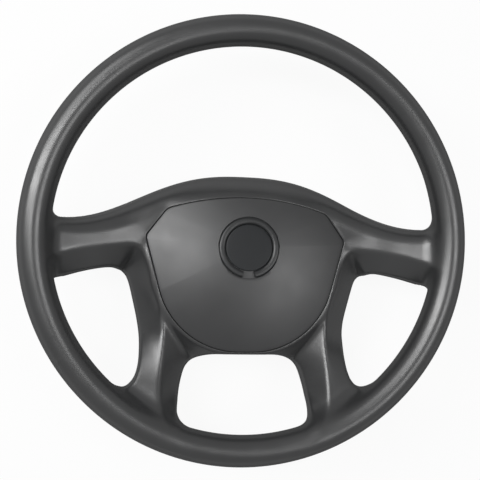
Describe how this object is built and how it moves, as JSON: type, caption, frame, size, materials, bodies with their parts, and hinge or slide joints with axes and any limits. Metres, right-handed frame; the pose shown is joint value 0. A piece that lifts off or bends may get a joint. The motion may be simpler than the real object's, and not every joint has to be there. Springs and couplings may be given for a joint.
{
  "type": "car steering wheel",
  "caption": "Four-spoke moulded steering wheel with a domed press-to-sound horn pad, plain trim ring, die-cast armature and splined steel hub.",
  "frame": {"origin": "on the steering axis, at the rear face of the steel hub insert", "axes": "+Z along the steering axis towards the driver, +Y to twelve o'clock, +X to the driver's right"},
  "size_m": [0.4, 0.4, 0.099],
  "materials": {
    "skin": "satin moulded polyurethane",
    "pad": "satin moulded",
    "badge": "satin",
    "trim_ring": "semi-gloss",
    "cover": "fine grain",
    "core_steel": "bare steel rod",
    "cast_alloy": "as cast",
    "hub_steel": "turned",
    "zinc": "zinc plated",
    "carrier_plastic": "natural",
    "brass": "turned",
    "insulator": "fibre",
    "contact": "silvered"
  },
  "bodies": {
    "wheel": {"grip_moulding": "skin", "rim_core": "core_steel", "spider": "cast_alloy", "hub_insert": "hub_steel", "hub_washer": "zinc", "hub_nut": "zinc", "back_cover": "cover", "cover_screws": "zinc", "contact_carrier": "carrier_plastic", "slip_ring": "brass", "carrier_screws": "zinc", "base_plate": "zinc", "base_screws": "zinc", "insulating_bushes": "insulator", "insulating_washers": "insulator", "fixed_contacts": "contact", "guide_screws": "hub_steel", "horn_terminal": "brass", "horn_spring_1": "hub_steel", "horn_spring_2": "hub_steel", "horn_spring_3": "hub_steel", "horn_spring_4": "hub_steel"},
    "pad": {"horn_pad": "pad", "badge_disc": "badge", "badge_ring": "trim_ring", "pad_plate": "zinc", "pad_screws": "zinc", "moving_contacts": "contact"}
  },
  "joints": [
    {"name": "horn_press", "type": "slide", "parent": "wheel", "child": "pad", "axis": [0, 0, -1], "range_m": [0, 0.0025], "stiffness_N_per_m": 8000, "springref_m": -0.0015, "deforming": ["horn_spring_1", "horn_spring_2", "horn_spring_3", "horn_spring_4"]}
  ]
}
